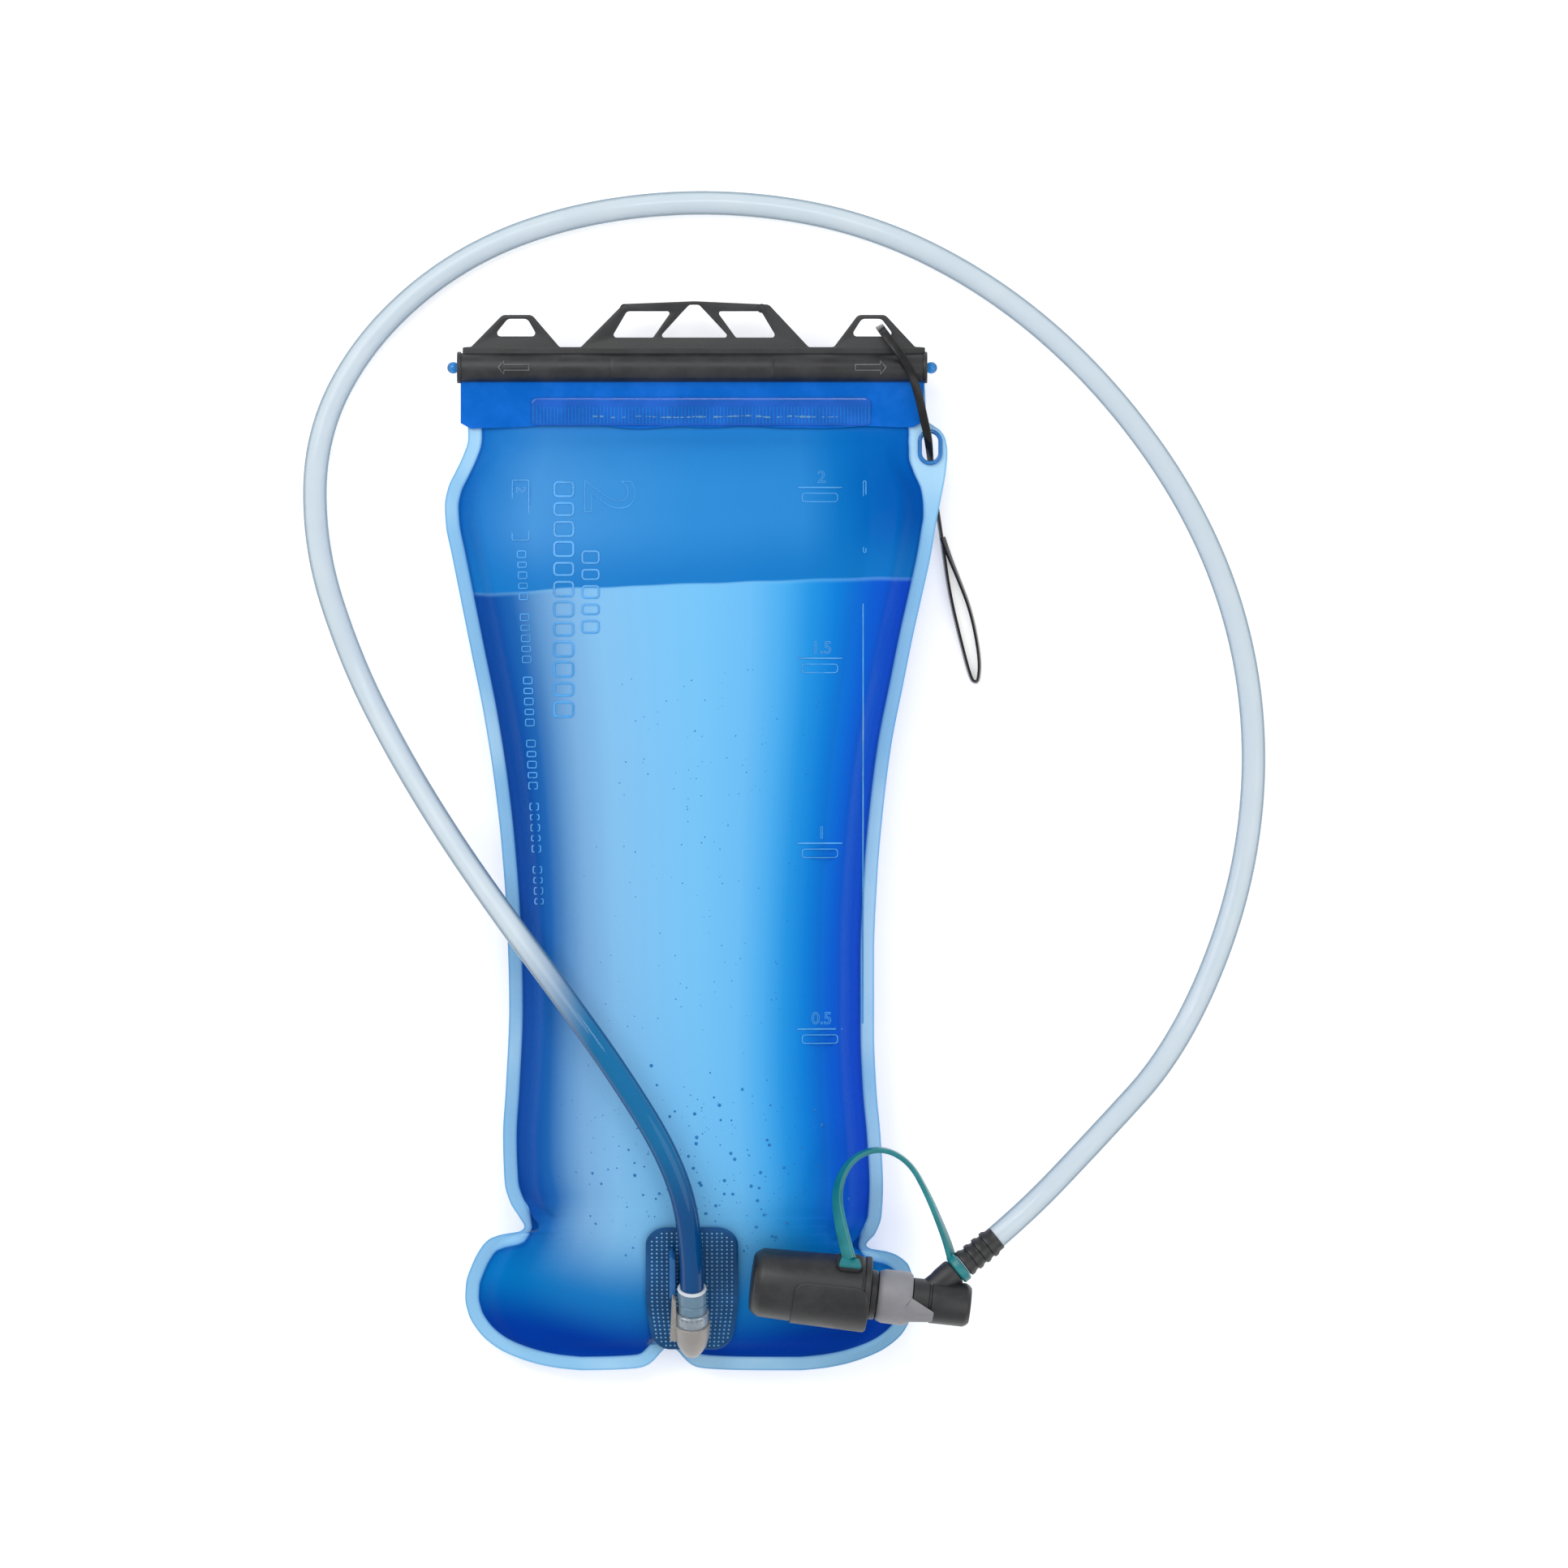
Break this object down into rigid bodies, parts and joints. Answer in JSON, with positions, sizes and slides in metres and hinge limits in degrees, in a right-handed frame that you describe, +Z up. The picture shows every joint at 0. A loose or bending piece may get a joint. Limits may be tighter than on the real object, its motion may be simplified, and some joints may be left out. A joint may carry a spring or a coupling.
{
  "type": "hydration bladder",
  "caption": "Full hydration bladder with a slide closure, a drink tube run round it from its port, and a capped bite valve with a turning shut-off.",
  "frame": {"origin": "middle of the back film's rest patch, on the surface the bag lies on", "axes": "+X to the bag's right, +Y from its foot to its slide closure, +Z up out of the front film"},
  "size_m": [0.345, 0.4223, 0.0688],
  "materials": {
    "blue_film": "glossy translucent film",
    "water": "clear water, stood in by a solid of about its density",
    "clear_blue": "translucent moulded plastic",
    "flap_film": "glossy film, two layers",
    "strip_film": "ribbed translucent film",
    "port_film": "satin film with raised dots",
    "clear_ring": "clear moulded plastic",
    "seal_rubber": "matte rubber",
    "grey_plastic": "satin moulded plastic",
    "spring_steel": "bright wire",
    "black_plastic": "fine moulded grain",
    "black_strap": "smooth glossy rubber",
    "clear_tube": "clear flexible tube",
    "teal_strap": "satin rubber",
    "bite_silicone": "soft silicone"
  },
  "bodies": {
    "bag": {"front_film": "blue_film", "back_film": "blue_film", "water_fill": "water", "closure_rod": "clear_blue", "mouth_flap": "flap_film", "grip_strip": "strip_film", "eyelet_ring": "clear_blue", "port_plate": "port_film", "port_housing": "clear_blue", "lock_ring": "clear_ring", "port_seal": "seal_rubber", "shutoff_poppet": "grey_plastic", "poppet_spring": "spring_steel"},
    "slider": {"closure_slider": "black_plastic", "leash": "black_strap"},
    "hose": {"hose_plug": "black_plastic", "plug_collar": "grey_plastic", "plug_o_ring": "seal_rubber", "drink_tube": "clear_tube", "valve_body": "black_plastic", "strap_ring": "teal_strap", "bite_valve": "bite_silicone", "cap_strap": "teal_strap"},
    "shutoff": {"shutoff_sleeve": "grey_plastic"},
    "cap": {"dust_cap": "black_plastic", "cap_button": "teal_strap"}
  },
  "joints": [
    {"name": "slider_slide", "type": "slide", "parent": "bag", "child": "slider", "axis": [1, 0, 0], "range_m": [0, 0.172], "deforming": ["leash"]},
    {"name": "plug_release", "type": "slide", "parent": "bag", "child": "hose", "axis": [0, 0.8434, 0.5373], "range_m": [0, 0.012]},
    {"name": "shutoff_twist", "type": "hinge", "parent": "hose", "child": "shutoff", "pos_m": [0.0658, -0.1633, 0.0475], "axis": [0.9922, -0.113, -0.0523], "range_deg": [0, 90]},
    {"name": "cap_pull", "type": "slide", "parent": "hose", "child": "cap", "axis": [-0.9922, 0.113, 0.0523], "range_m": [0, 0.014], "deforming": ["cap_strap"]}
  ]
}
